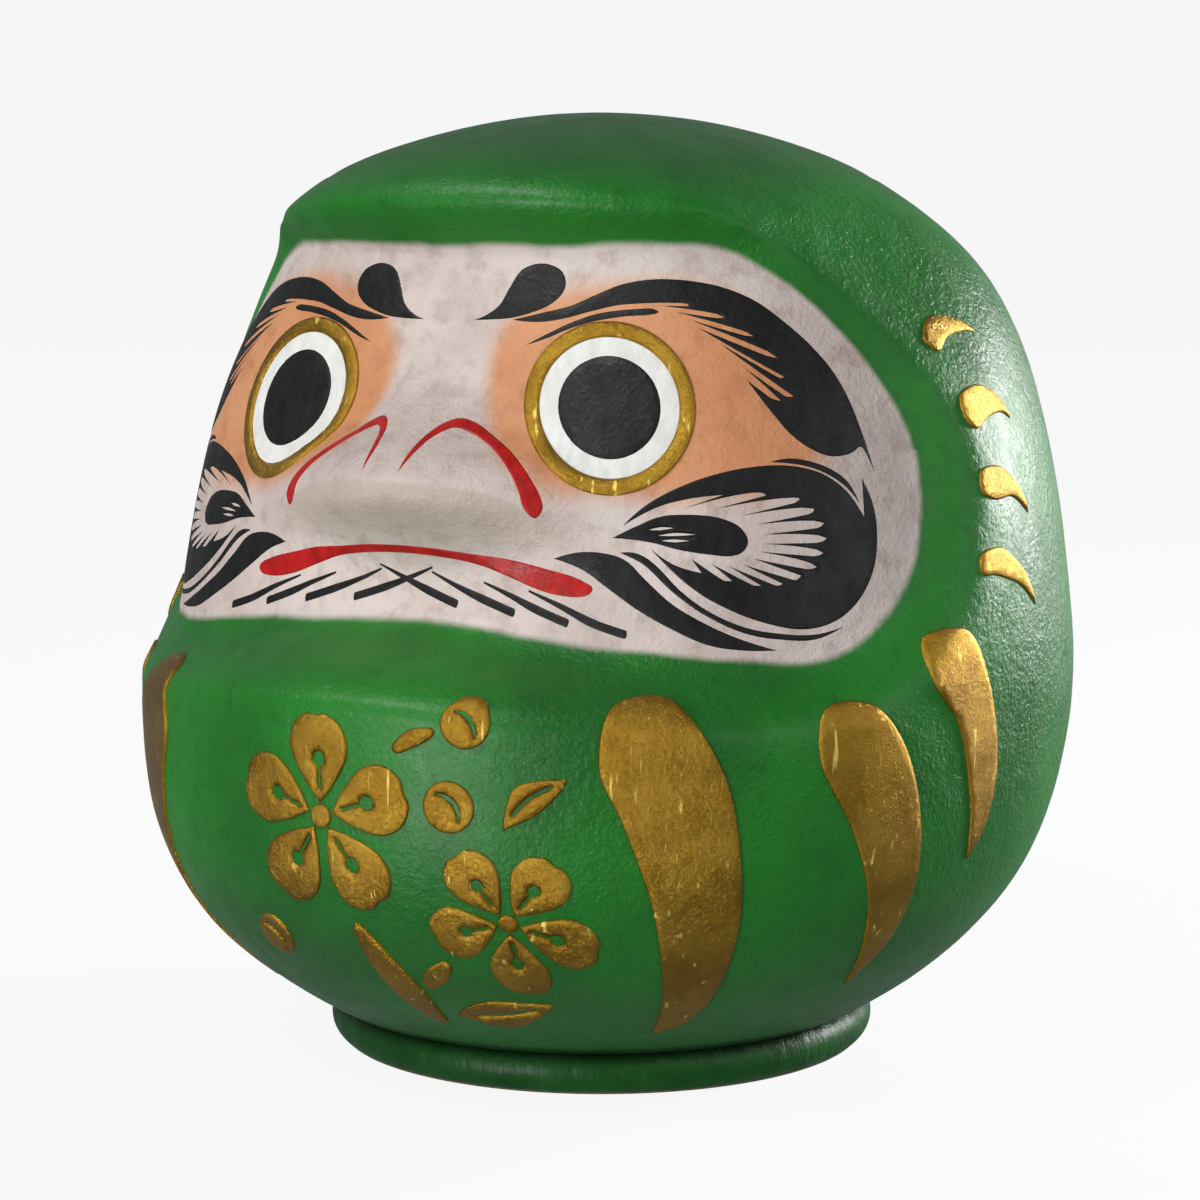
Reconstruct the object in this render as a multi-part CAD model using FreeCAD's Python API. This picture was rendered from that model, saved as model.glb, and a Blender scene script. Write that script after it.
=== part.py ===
"""A daruma doll: two papier-mache half shells on a moulded clay foot, with gilded relief.

Millimetres. +Z is up and z = 0 is the surface the doll rests on. The doll faces -Y and its
left hand side is +X. A bearing is measured about the Z axis, from the front towards +X.
"""
import FreeCAD, Part
import math
import os

V = FreeCAD.Vector

# ---- driving dimensions ------------------------------------------------------------------
FOOT_TOP = 7.0            # the shells stand on the foot at this height
CROWN_Z = 149.8           # top of the head
WALL = 2.2                # papier-mache wall

# Side profile of the body as (radius, height), from the foot to the crown.
PROFILE = [(44.2, FOOT_TOP), (52.5, 12.0), (61.9, 20.0), (69.3, 30.0), (73.3, 40.0),
           (75.4, 52.0), (76.1, 63.0), (75.1, 80.0), (71.7, 100.0), (66.4, 116.0),
           (60.3, 126.0), (51.9, 134.0), (42.7, 140.0), (31.0, 144.8), (17.0, 148.3),
           (0.0, CROWN_Z)]
# How far the body leans forward (+) or back (-) at a height.
LEAN = [(7.0, 1.2), (22.0, 1.1), (36.0, 0.0), (56.0, -1.7), (80.0, 0.0), (120.0, 0.0),
        (136.0, 0.8)]
LEAN_FADE_R = 40.0        # the lean fades out over the crown, inside this radius

# The sunk face: its outline on the unrolled body, and its own flatter surface.
GIRTH_R = 70.0            # radius on which bearings are unrolled to lengths
FACE_HALF_W = 92.5        # half width of the face, measured along the girth
FACE_TOP = 128.8          # height of its upper edge
FACE_FOOT = 69.2          # lowest point of the face, under each cheek
FACE_BOW = 4.9            # the lower edge is this much higher at the chin
FACE_BOW_SHARE = 0.7      # that rise fades out over this share of the half width
CORNER_TOP = 36.0         # radii of the outline's upper and lower corners
CORNER_FOOT = 26.0
FACE_SIDE_GAP = 5.7       # the face lies this far inside the body at the ears
FACE_TEMPLE_SHARE = 0.5   # how much of the temples' narrowing the face follows
CHIN_DEPTH = 54.0         # distance of the face from the axis at REF_Z
REF_Z = 80.0
FACE_SLOPE = 0.287        # the face leans back by this much per millimetre of height
FACE_POWER = 2.4          # how square the face is in plan
# Width of the slope between the face and the body, at a height.
WALL_WIDTHS = [(72.0, 10.5), (86.0, 8.0), (104.0, 8.0), (126.0, 4.5)]
# Plan of the hood's front edge, an ellipse: its half width at a height, and its depth.
HOOD_HALF_W = [(92.0, 79.0), (100.0, 75.0), (110.0, 69.5), (117.0, 65.0), (122.0, 62.0),
               (128.0, 60.5)]
HOOD_DEPTH = 47.2
HOOD_CREST = 136.0        # the sunk face ends below this height
HOOD_EDGE_R = 2.7         # how much the hood's edge is rounded
HOOD_TRIM_REACH = 8.0     # the body further inside the trim than this keeps its own radius
HOOD_SIDE = (-0.05, 0.25) # cosines of the bearings between which the trim fades in
HOOD_FROM = 86.0          # the sides of the hood fade into the body between these heights
HOOD_TO = 98.0

# The temples: how far the body is drawn in there at a height, and between which bearings.
TEMPLE = [(96.0, 0.0), (104.0, 0.6), (110.0, 1.8), (117.0, 3.8), (122.0, 5.0), (127.0, 5.4),
          (132.0, 4.2), (138.0, 2.2), (145.0, 0.0)]
TEMPLE_BEARINGS = (46.0, 65.0, 74.0, 104.0)

# The nose: how far it stands out of the face, and its half width, at a height.
NOSE = [(79.0, 0.0, 23.0), (84.0, 3.0, 23.0), (88.0, 8.0, 23.0), (93.0, 12.6, 21.0),
        (97.0, 11.2, 17.0), (100.5, 7.8, 11.0), (104.0, 4.4, 8.6), (108.0, 1.9, 7.5),
        (113.0, 0.0, 7.0)]

# Foot
PAPER_T = 0.4
PAPER_R = 42.6
RING_R = 44.5             # widest radius of the foot ring
RING_WAIST_Z = 3.2        # height of that widest radius
RING_TOP_R = 42.4         # the ring is flat inside this radius, and carries the shells
RING_ROUND = 0.5          # the ring is this much narrower at RING_ROUND_Z from either face
RING_ROUND_Z = 1.5
RING_LIP = 0.4            # the clay shows this far round the paper
RING_BORE_R = 33.0
DISC_R = 32.7
DISC_T = 2.0
WEIGHT_R = 30.0
WEIGHT_H = 9.0
WEIGHT_TOP_R = 22.0

# Gilded relief
GOLD_T = 0.5
GLUE = 0.06               # film between the shell and whatever is glued to it
EYE_X = 29.4              # place of an eye's middle, to the side, forward and up
EYE_DEPTH = 44.7
EYE_Z = 105.1
EYE_BEARING = 33.4        # the eye is drawn square to this bearing
EYE_R = 12.4              # the gold ring, outside and inside
EYE_WHITE_R = 10.1
EYE_SPREAD = 0.36         # half the angle of the slab that the ring is cut from

# Cutting the relief: outlines are carried outward from one radius to the other, through a slab
# that is a little larger than they are.
PRISM_START = 20.0
PRISM_END = 100.0
SPARE = 2.0
SPARE_DEGREES = 4.0
SLAB_SHARE = 0.8          # least radius of the belly as a share of GIRTH_R

# Paper strips that join the halves from inside
STRIP_T = 0.6
STRIP_GAP = 0.3           # paste between the shell and the strip
STRIP_HALF_ANGLE = 5.0
STRIP_LOW = 12.0
STRIP_HIGH = 138.0

NORMAL_STEP = 0.004       # spacing in angle and length share for finding a surface normal
ROWS = 96                 # rows of surface poles from foot to crown
COLUMNS = 72              # columns of surface poles across a half shell

# ---- gold strokes ------------------------------------------------------------------------
# Each outline is (length along the tangent at the stroke's bearing, height), starting at the
# pointed tip and ending there, on the doll's left. The right side is its mirror image.
CHEST_STROKES = [
    (38.0, [(1.9, 12.4), (8.8, 17.1), (12.5, 30.0), (12.3, 43.2), (9.6, 55.0), (2.7, 64.7),
            (-6.1, 63.7), (-8.0, 55.5), (-4.3, 46.7), (0.1, 33.8), (2.4, 20.0)]),
    (64.0, [(4.8, 18.8), (9.5, 29.3), (9.5, 42.7), (5.8, 55.1), (-0.5, 63.1), (-8.1, 62.8),
            (-9.5, 55.8), (-3.7, 45.4), (1.2, 34.4), (4.0, 24.0)]),
    (78.0, [(3.6, 37.5), (7.1, 45.0), (7.1, 54.5), (3.6, 65.6), (-0.9, 72.6), (-7.9, 71.9),
            (-8.2, 65.6), (-2.4, 58.1), (1.4, 47.4)]),
]
SHOULDER_STROKES = [
    (82.0, [(11.2, 115.5), (7.2, 117.8), (2.1, 117.9), (-1.3, 114.7), (0.6, 112.9), (3.9, 114.8),
            (7.8, 115.6)]),
    (82.0, [(13.2, 102.6), (10.4, 106.2), (6.2, 107.9), (1.4, 106.8), (0.3, 103.9), (2.3, 101.5),
            (6.5, 103.1), (10.4, 103.6)]),
    (82.0, [(13.9, 88.4), (11.9, 92.1), (6.6, 95.8), (1.5, 95.6), (0.8, 92.3), (4.0, 91.0),
            (9.1, 91.1)]),
    (82.0, [(13.6, 74.5), (10.2, 80.0), (4.1, 83.9), (-1.1, 83.6), (-1.7, 80.5), (2.5, 79.9),
            (8.9, 77.9)]),
]

# ---- plum sprig on the belly ---------------------------------------------------------------
# Blossoms are (x, z, petal circle radius, petal radius, turn in degrees).
SPRIG_BEARING = 4.0
BLOSSOMS = {"blossom_large": (-7.0, 46.5, 8.6, 6.8, 18.0),
            "blossom_small": (21.0, 32.5, 6.6, 5.4, 50.0)}
PETALS = 5
PETAL_POINTS = 40
PETAL_ROUNDNESS = 0.7
BUDS = {"bud_high": (16.8, 61.6, 3.6), "bud_mid": (14.0, 49.5, 3.8), "bud_low": (-21.0, 26.0, 3.4)}
# Branches are centre lines of (x, z, half width).
BRANCHES = {
    "branch_main": [(3.0, 13.5, 0.9), (1.4, 18.5, 2.6), (-1.0, 24.5, 2.3), (-3.2, 29.8, 0.9)],
    "branch_side": [(5.0, 20.8, 0.7), (7.4, 22.8, 1.5), (10.0, 25.0, 0.7)],
    "branch_high": [(6.1, 57.4, 0.7), (9.0, 59.2, 1.3), (12.0, 60.3, 0.6)],
}
LEAVES = {"leaf_upper": [(22.0, 47.0, 0.4), (25.2, 51.0, 2.4), (30.0, 53.6, 0.5)],
          "leaf_lower": [(7.4, 15.6, 0.4), (13.6, 16.0, 2.6), (21.6, 18.0, 0.5)]}


# ---- surface of the doll -------------------------------------------------------------------
def smooth(t):
    """0 below t = 0, 1 above t = 1, with level ends."""
    t = max(0.0, min(1.0, t))
    return t * t * (3.0 - 2.0 * t)


def along(table, z, column=1):
    """A value read from a table of rows (height, value, ...), on a smooth curve through them."""
    def slope(row):
        before = table[max(row - 1, 0)]
        after = table[min(row + 1, len(table) - 1)]
        return (after[column] - before[column]) / (after[0] - before[0])
    z = max(table[0][0], min(table[-1][0], z))
    row = next(i for i in range(len(table) - 1) if z <= table[i + 1][0])
    low = table[row]
    high = table[row + 1]
    gap = high[0] - low[0]
    s = (z - low[0]) / gap
    rise = high[column] - low[column]
    first = slope(row) * gap if row > 0 else 0.0
    last = slope(row + 1) * gap if row + 2 < len(table) else 0.0
    bend = (first - rise) * (1.0 - s) + (rise - last) * s
    return low[column] + rise * s + s * (1.0 - s) * bend


def make_profile():
    """The body's side profile as an arch over the crown, in the XZ plane."""
    right = [V(r, 0, z) for r, z in PROFILE]
    left = [V(-r, 0, z) for r, z in PROFILE[-2::-1]]
    curve = Part.BSplineCurve()
    curve.interpolate(Points=right + left)
    return curve


BODY = make_profile()
BODY_LENGTH = BODY.length() / 2    # from the foot to the crown


def body_at(t):
    """Radius and height of the body at a fraction of the profile's length."""
    p = BODY.value(BODY.parameterAtDistance(max(0.0, min(1.0, t)) * BODY_LENGTH))
    return p.x, p.z


def fraction_at(z):
    """The fraction of the profile's length at a height below the crown."""
    low = 0.0
    high = 1.0
    for _ in range(30):
        middle = (low + high) / 2
        if body_at(middle)[1] < z:
            low = middle
        else:
            high = middle
    return (low + high) / 2


def face_distance(angle, z):
    """How far a place on the unrolled body lies outside the face's outline."""
    across = abs(angle) * GIRTH_R
    foot = FACE_FOOT + FACE_BOW * (1.0 - smooth(across / (FACE_BOW_SHARE * FACE_HALF_W)))
    middle = (FACE_TOP + foot) / 2
    half = (FACE_TOP - foot) / 2
    corner = CORNER_TOP if z > middle else CORNER_FOOT
    dx = across - (FACE_HALF_W - corner)
    dz = abs(z - middle) - (half - corner)
    return math.hypot(max(dx, 0.0), max(dz, 0.0)) + min(max(dx, dz), 0.0) - corner


def ellipse_radius(angle, half_w, depth, power):
    """Radius of a (super)ellipse with its depth towards the front."""
    s = abs(math.sin(angle)) / half_w
    c = abs(math.cos(angle)) / depth
    return (s ** power + c ** power) ** (-1.0 / power)


def face_radius(angle, body_r, z):
    """Radius of the face's own surface, with the nose."""
    depth = CHIN_DEPTH - FACE_SLOPE * (z - REF_Z)
    half_w = body_r - FACE_SIDE_GAP - FACE_TEMPLE_SHARE * along(TEMPLE, z)
    radius = ellipse_radius(angle, max(half_w, 1.0), max(depth, 1.0), FACE_POWER)
    x = radius * math.sin(angle)
    return radius + along(NOSE, z) * math.exp(-(x / along(NOSE, z, 2)) ** 2)


def hooded_radius(angle, body_r, z):
    """Radius of the body with the front of the hood trimmed back."""
    trim = ellipse_radius(angle, along(HOOD_HALF_W, z), HOOD_DEPTH, 2.0)
    share = smooth((z - HOOD_FROM) / (HOOD_TO - HOOD_FROM))
    over = body_r - trim
    rounded = 0.0
    if over > -HOOD_TRIM_REACH:
        rounded = 0.5 * (over + math.sqrt(over * over + HOOD_EDGE_R ** 2))
    start, full = HOOD_SIDE
    return body_r - rounded * share * smooth((math.cos(angle) - start) / (full - start))


def temple_depth(angle, z):
    """How far the body is drawn in at the temples."""
    start, full, last, end = TEMPLE_BEARINGS
    bearing = abs(math.degrees(angle))
    share = smooth((bearing - start) / (full - start)) * smooth((end - bearing) / (end - last))
    return along(TEMPLE, z) * share


def skin_point(angle, t):
    """A point of the doll's outer surface."""
    body_r, z = body_at(t)
    body_r += along(LEAN, z) * math.cos(angle) * min(1.0, body_r / LEAN_FADE_R)
    radius = body_r - temple_depth(math.remainder(angle, 2 * math.pi), z)
    if abs(angle) < math.pi / 2:
        radius = hooded_radius(angle, radius, z)
        outside = smooth(face_distance(angle, z) / along(WALL_WIDTHS, z))
        face = face_radius(angle, body_r, z)
        if outside < 1.0 and z < HOOD_CREST:
            radius = face + (radius - face) * outside
    return V(radius * math.sin(angle), -radius * math.cos(angle), z)


def offset_point(angle, t, offset):
    """A surface point moved along the outward normal."""
    p = skin_point(angle, t)
    if t > 1.0 - NORMAL_STEP:
        return p + V(0, 0, offset)
    step = NORMAL_STEP
    across = skin_point(angle + step, t) - skin_point(angle - step, t)
    upward = skin_point(angle, min(t + step, 1.0)) - skin_point(angle, max(t - step, 0.0))
    return p + across.cross(upward).normalize() * offset


def spline_surface(grid):
    """A smooth surface that follows a grid of points."""
    def knots(count):
        values = list(range(count - 2))
        return values, [4] + [1] * (count - 4) + [4]
    u_knots, u_mults = knots(len(grid))
    v_knots, v_mults = knots(len(grid[0]))
    surface = Part.BSplineSurface()
    surface.buildFromPolesMultsKnots(grid, u_mults, v_mults, u_knots, v_knots, False, False, 3, 3)
    return surface


# ---- half shells ---------------------------------------------------------------------------
def half_surface(first, offset):
    """Outer or inner surface of a half shell that runs 180 degrees from the bearing first."""
    grid = []
    for row in range(ROWS + 1):
        t = row / ROWS
        line = []
        for column in range(COLUMNS + 1):
            p = offset_point(first + math.pi * column / COLUMNS, t, offset)
            if column in (0, COLUMNS):
                p.y = 0.0
            if row == 0:
                p.z = FOOT_TOP
            if row >= ROWS - 1:
                p.z = CROWN_Z + offset
            if row == ROWS:
                p = V(0, 0, CROWN_Z + offset)
            line.append(p)
        grid.append(line)
    return spline_surface(grid)


def half_shell(first):
    """A hollow half of the doll, open at the foot and flat on the joint plane y = 0."""
    outer = half_surface(first, 0.0)
    inner = half_surface(first, -WALL)
    foot, crown, start, end = outer.bounds()
    rims = [outer.vIso(start), outer.vIso(end), inner.vIso(start), inner.vIso(end)]
    feet = [outer.uIso(foot), inner.uIso(foot)]
    gaps = [Part.LineSegment(outer.value(foot, v), inner.value(foot, v)) for v in (start, end)]
    joint = Part.Face(Part.Wire(Part.__sortEdges__([c.toShape() for c in rims + gaps])))
    sole = Part.Face(Part.Wire(Part.__sortEdges__([c.toShape() for c in feet + gaps])))
    return sewn_solid([outer.toShape(), inner.toShape(), joint, sole])


def sewn_solid(faces):
    """A solid from faces that close round it."""
    shell = Part.Compound(faces)
    shell.sewShape()
    solid = Part.Solid(shell.Shells[0] if shell.ShapeType == "Compound" else shell)
    if solid.Volume < 0:
        solid.reverse()
    return solid


# ---- pieces that follow the surface -----------------------------------------------------------
def layer(angles, heights, inner, outer, columns=14, rows=20):
    """A curved slab between two offsets of the surface."""
    low = fraction_at(heights[0])
    high = fraction_at(heights[1])
    grids = []
    for offset in (inner, outer):
        grid = []
        for row in range(rows + 1):
            t = low + (high - low) * row / rows
            line = []
            for column in range(columns + 1):
                angle = angles[0] + (angles[1] - angles[0]) * column / columns
                line.append(offset_point(angle, t, offset))
            grid.append(line)
        grids.append(grid)
    under, over = [spline_surface(grid) for grid in grids]
    u0, u1, v0, v1 = under.bounds()
    sides = []
    for a, b in ((under.uIso(u0), over.uIso(u0)), (under.uIso(u1), over.uIso(u1)),
                 (under.vIso(v0), over.vIso(v0)), (under.vIso(v1), over.vIso(v1))):
        sides.append(Part.makeRuledSurface(a.toShape(), b.toShape()))
    return sewn_solid([under.toShape(), over.toShape()] + sides)


def tangent_point(bearing, across, z, radius):
    """A point over the tangent plane at a bearing, as far from the axis as radius."""
    s = math.sin(bearing)
    c = math.cos(bearing)
    return V(radius * s + across * c, -radius * c + across * s, z)


def prism(wires, bearing):
    """Wires drawn on the tangent plane, carried outward through the doll's surface."""
    face = Part.Face(wires)
    out = V(math.sin(bearing), -math.cos(bearing), 0)
    return face.extrude(out * (PRISM_END - PRISM_START))


def closed_curve(points, bearing, sharp_start=False):
    """A smooth closed wire through points, with a corner at the first one if asked."""
    placed = [tangent_point(bearing, u, z, PRISM_START) for u, z in points]
    curve = Part.BSplineCurve()
    if sharp_start:
        curve.interpolate(Points=placed + placed[:1])
    else:
        curve.interpolate(Points=placed, PeriodicFlag=True)
    return Part.Wire([curve.toShape()])


def relief(wires, bearing, box):
    """The part of a raised gold layer inside a drawn outline, as one solid."""
    inner = GLUE
    outer = GLUE + GOLD_T
    u0, u1, z0, z1 = box
    margin = math.radians(SPARE_DEGREES)
    reach = SLAB_SHARE * GIRTH_R
    angles = (bearing + u0 / reach - margin, bearing + u1 / reach + margin)
    slab = layer(angles, (z0 - SPARE, z1 + SPARE), inner, outer)
    cut = slab.common(prism(wires, bearing))
    return max(cut.Solids, key=lambda solid: solid.Volume)


def box_of(points, grow=0.0):
    """Least and greatest of both coordinates of some points."""
    us = [p[0] for p in points]
    zs = [p[1] for p in points]
    return min(us) - grow, max(us) + grow, min(zs) - grow, max(zs) + grow


def stroke(bearing_degrees, outline):
    """A gold brush stroke with one pointed end."""
    bearing = math.radians(bearing_degrees)
    return relief([closed_curve(outline, bearing, sharp_start=True)], bearing, box_of(outline, 1.5))


def ring_round_eye():
    """The gold ring round the left eye."""
    bearing = math.radians(EYE_BEARING)
    middle = EYE_X * math.cos(bearing) - EYE_DEPTH * math.sin(bearing)
    centre = tangent_point(bearing, middle, EYE_Z, PRISM_START)
    out = V(math.sin(bearing), -math.cos(bearing), 0)
    rings = [Part.Wire([Part.Circle(centre, out, r).toShape()]) for r in (EYE_R, EYE_WHITE_R)]
    box = (middle - EYE_R, middle + EYE_R, EYE_Z - EYE_R, EYE_Z + EYE_R)
    slab = layer((bearing - EYE_SPREAD, bearing + EYE_SPREAD), (box[2] - SPARE, box[3] + SPARE),
                 GLUE, GLUE + GOLD_T, columns=20)
    discs = [Part.Face(ring).extrude(out * (PRISM_END - PRISM_START)) for ring in rings]
    return slab.common(discs[0].cut(discs[1])).Solids[0]


def ribbon_outline(centre_line):
    """Outline of a stroke given by centre points and half widths, tip first."""
    left = []
    right = []
    last = len(centre_line) - 1
    for i, (x, z, half) in enumerate(centre_line):
        before = centre_line[max(i - 1, 0)]
        after = centre_line[min(i + 1, last)]
        dx = after[0] - before[0]
        dz = after[1] - before[1]
        size = math.hypot(dx, dz)
        left.append((x - dz / size * half, z + dx / size * half))
        right.append((x + dz / size * half, z - dx / size * half))
    return left + right[::-1]


def sprig_solid(wire, box):
    """One piece of the sprig on the belly."""
    return relief([wire], math.radians(SPRIG_BEARING), box)


def blossom(x, z, reach, petal, turn):
    """A five-petalled plum blossom as one outline."""
    points = []
    for i in range(PETAL_POINTS):
        angle = 2 * math.pi * i / PETAL_POINTS
        wave = abs(math.cos(PETALS * angle / 2)) ** PETAL_ROUNDNESS
        size = reach + petal * wave
        place = angle + math.radians(turn)
        points.append((x + size * math.cos(place), z + size * math.sin(place)))
    wire = closed_curve(points, math.radians(SPRIG_BEARING))
    return sprig_solid(wire, box_of(points, 1.0))


def bud(x, z, radius):
    """A round bud."""
    points = [(x + radius * math.cos(a * math.pi / 4), z + radius * math.sin(a * math.pi / 4))
              for a in range(8)]
    return sprig_solid(closed_curve(points, math.radians(SPRIG_BEARING)), box_of(points, 1.0))


def ribbon(centre_line):
    """A branch or leaf that swells between its ends."""
    points = ribbon_outline(centre_line)
    return sprig_solid(closed_curve(points, math.radians(SPRIG_BEARING)), box_of(points, 1.5))


def mirrored(shape):
    """The same piece on the doll's right."""
    return shape.mirror(V(0, 0, 0), V(1, 0, 0))


# ---- foot ------------------------------------------------------------------------------------
def turned(outline):
    """A solid turned about the Z axis from (radius, height) corners."""
    face = Part.Face(Part.makePolygon([V(r, 0, z) for r, z in outline + outline[:1]]))
    return face.revolve(V(0, 0, 0), V(0, 0, 1), 360)


def foot_ring():
    """The clay ring under the doll, rounded outside and flat on top to carry the shells."""
    low = V(PAPER_R + RING_LIP, 0, PAPER_T)
    widest = V(RING_R, 0, RING_WAIST_Z)
    high = V(RING_TOP_R, 0, FOOT_TOP)
    edges = [Part.Arc(low, V(RING_R - RING_ROUND, 0, RING_ROUND_Z), widest).toShape(),
             Part.Arc(widest, V(RING_R - RING_ROUND, 0, FOOT_TOP - RING_ROUND_Z), high).toShape()]
    bore = [high, V(RING_BORE_R, 0, FOOT_TOP), V(RING_BORE_R, 0, PAPER_T), low]
    edges += [Part.LineSegment(a, b).toShape() for a, b in zip(bore, bore[1:])]
    face = Part.Face(Part.Wire(Part.__sortEdges__(edges)))
    return face.revolve(V(0, 0, 0), V(0, 0, 1), 360)


def base_paper():
    """The paper glued under the foot."""
    return Part.makeCylinder(PAPER_R, PAPER_T)


def base_disc():
    """The card that closes the foot ring."""
    return Part.makeCylinder(DISC_R, DISC_T, V(0, 0, PAPER_T))


def clay_weight():
    """The clay that rights the doll, pressed onto the card."""
    low = PAPER_T + DISC_T
    return turned([(0, low), (WEIGHT_R, low), (WEIGHT_TOP_R, low + WEIGHT_H), (0, low + WEIGHT_H)])


def joint_strip():
    """The paper strip inside the left joint of the shells."""
    spread = math.radians(STRIP_HALF_ANGLE)
    side = math.pi / 2
    depth = WALL + STRIP_GAP
    return layer((side - spread, side + spread), (STRIP_LOW, STRIP_HIGH), -depth - STRIP_T, -depth,
                 columns=6, rows=60)


# ---- the doll ----------------------------------------------------------------------------------
def build():
    """Every piece of the doll by its node name."""
    parts = {
        "shell_front": half_shell(-math.pi / 2),
        "shell_back": half_shell(math.pi / 2),
        "foot_ring": foot_ring(),
        "base_paper": base_paper(),
        "base_disc": base_disc(),
        "clay_weight": clay_weight(),
    }
    pairs = {"joint_strip": joint_strip(), "eye_ring": ring_round_eye()}
    for name, strokes in (("chest_stroke", CHEST_STROKES), ("shoulder_stroke", SHOULDER_STROKES)):
        for number, (bearing, outline) in enumerate(strokes, 1):
            pairs["%s_%d" % (name, number)] = stroke(bearing, outline)
    for name, shape in pairs.items():
        parts[name + "_left"] = shape
        parts[name + "_right"] = mirrored(shape)
    for name, dims in BLOSSOMS.items():
        parts[name] = blossom(*dims)
    for name, dims in BUDS.items():
        parts[name] = bud(*dims)
    for name, line in list(BRANCHES.items()) + list(LEAVES.items()):
        parts[name] = ribbon(line)
    return parts


os.makedirs("parts", exist_ok=True)
for name, shape in build().items():
    shape.exportStep("parts/%s.step" % name)
    print("%-26s valid %-5s solids %d volume %.1f" % (name, shape.isValid(), len(shape.Solids),
                                                      shape.Volume))
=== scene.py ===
"""Looks of a papier-mache daruma doll in green lacquer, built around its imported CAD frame."""

import math

import bpy
import numpy as np
from mathutils import Matrix, Vector, noise
from mathutils.bvhtree import BVHTree
from mathutils.geometry import delaunay_2d_cdt


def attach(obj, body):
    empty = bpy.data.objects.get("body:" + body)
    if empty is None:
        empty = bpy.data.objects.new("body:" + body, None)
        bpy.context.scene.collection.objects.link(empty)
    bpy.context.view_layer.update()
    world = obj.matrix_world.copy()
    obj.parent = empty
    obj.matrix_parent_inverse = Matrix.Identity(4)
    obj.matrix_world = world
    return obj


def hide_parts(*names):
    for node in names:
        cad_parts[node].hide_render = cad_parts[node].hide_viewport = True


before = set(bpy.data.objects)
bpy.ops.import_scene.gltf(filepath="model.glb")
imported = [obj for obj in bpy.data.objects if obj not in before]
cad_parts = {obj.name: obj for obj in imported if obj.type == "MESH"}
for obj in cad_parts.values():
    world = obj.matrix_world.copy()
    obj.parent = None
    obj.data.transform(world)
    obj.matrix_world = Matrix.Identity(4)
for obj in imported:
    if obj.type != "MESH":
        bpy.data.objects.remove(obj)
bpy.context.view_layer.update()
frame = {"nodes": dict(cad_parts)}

MM = 0.001

# ---- the doll's sizes, in millimetres, and bearings, in degrees from the front to its left ------
GIRTH_R = 70.0              # radius on which bearings are unrolled to lengths
FACE_HALF_W = 92.5
FACE_TOP = 128.8
FACE_FOOT = 69.2
FACE_BOW = 4.9
FACE_BOW_SHARE = 0.7        # the rise of the lower edge fades out over this share of the width
CORNER_TOP = 36.0
CORNER_FOOT = 26.0
WALL = 2.2
CAP_CENTRE = 100.0          # the skin is sampled level below this height, and fanned out above it
EYE_BEARING = 33.4
EYE_X = 29.4
EYE_FORWARD = 44.7          # how far the eye's centre lies in front of the doll's axis
EYE_Z = 105.1
EYE_R = 12.4
EYE_WHITE_R = 10.1
PUPIL_R = 7.45
PAINT_T = 0.05
PAINT_ROUNDING = (0.22,)    # distances from an edge at which a layer's top gets a ring of points
EYE_WHITE_T = 0.07
EYE_WHITE_LAP = 0.25        # the eye white runs this far under the gold ring
PUPIL_T = 0.15
EYE_ROUNDING = (0.2,)
WHISKER_LAP = 0.02          # the right whiskers lie this much over the left ones
GOLD_T = 0.42
GOLD_ROUNDING = (0.1, 0.28)
GOLD_WOBBLE = 0.02
WOBBLE_SIZE = 2.6
RING_STEP = 0.7             # spacing of the points inside a gold ring, stroke or sprig piece
STROKE_STEP = 1.1
SPRIG_STEP = 0.8
SINK = 0.35                 # how far paint and gold reach down into the skin
EDGE_SHARE = 0.25           # height of a layer at its very edge, as a share of the whole
EDGE_REACH = 1.1            # the edge is rounded over this multiple of the rounding
CORNER_TURN = 125.0         # an outline that turns by more than this keeps a sharp point
ROW_PITCH = 0.866           # height of a row in a grid of equal triangles of side 1

# ---- painted features on the doll's left: (bearing, height) outlines ----------------------------
BROW_DROP = [(6.0, 117.5), (8.9, 118.3), (11.6, 119.8), (13.4, 122.2), (15.4, 124.6), (18.2, 125.7),
             (21.4, 125.8), (24.2, 124.9), (25.3, 123.2), (24.6, 121.4), (22.2, 119.8), (18.8, 118.7),
             (14.8, 117.9), (10.4, 117.6)]
BROW = [(14.8, 117.6), (20.6, 118.6), (26.4, 119.7), (31.3, 121.4), (36.0, 122.9), (41.4, 123.6),
        (47.0, 123.4), (52.4, 122.4), (57.0, 120.4), (60.6, 117.4), (63.6, 114.0), (65.8, 110.4),
        (67.2, 106.2), (68.1, 101.6), (69.0, 95.6), (67.7, 99.4), (65.8, 98.5), (63.2, 98.2),
        (60.8, 99.2), (58.4, 101.2), (56.3, 104.2), (53.4, 109.2),
        (56.3, 106.6), (57.6, 106.2), (53.4, 110.9), (58.2, 106.9), (59.4, 106.8), (50.4, 114.4),
        (58.0, 109.4), (58.6, 109.6), (47.6, 116.6), (56.8, 112.6), (57.1, 113.2), (46.4, 117.8),
        (54.2, 115.5), (54.3, 116.1), (44.4, 118.9), (50.6, 118.0), (50.6, 118.6), (42.0, 119.8),
        (46.4, 119.7), (44.0, 120.2), (35.6, 119.9), (30.6, 119.0), (25.0, 117.8), (20.0, 117.3)]
LASH = [(18.0, 113.9), (22.4, 115.7), (26.4, 117.2), (31.0, 118.5), (35.4, 119.1), (40.4, 119.4),
        (41.6, 119.0), (40.4, 118.5), (36.0, 118.2), (31.0, 117.5), (26.4, 116.4), (22.2, 115.0)]
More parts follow.
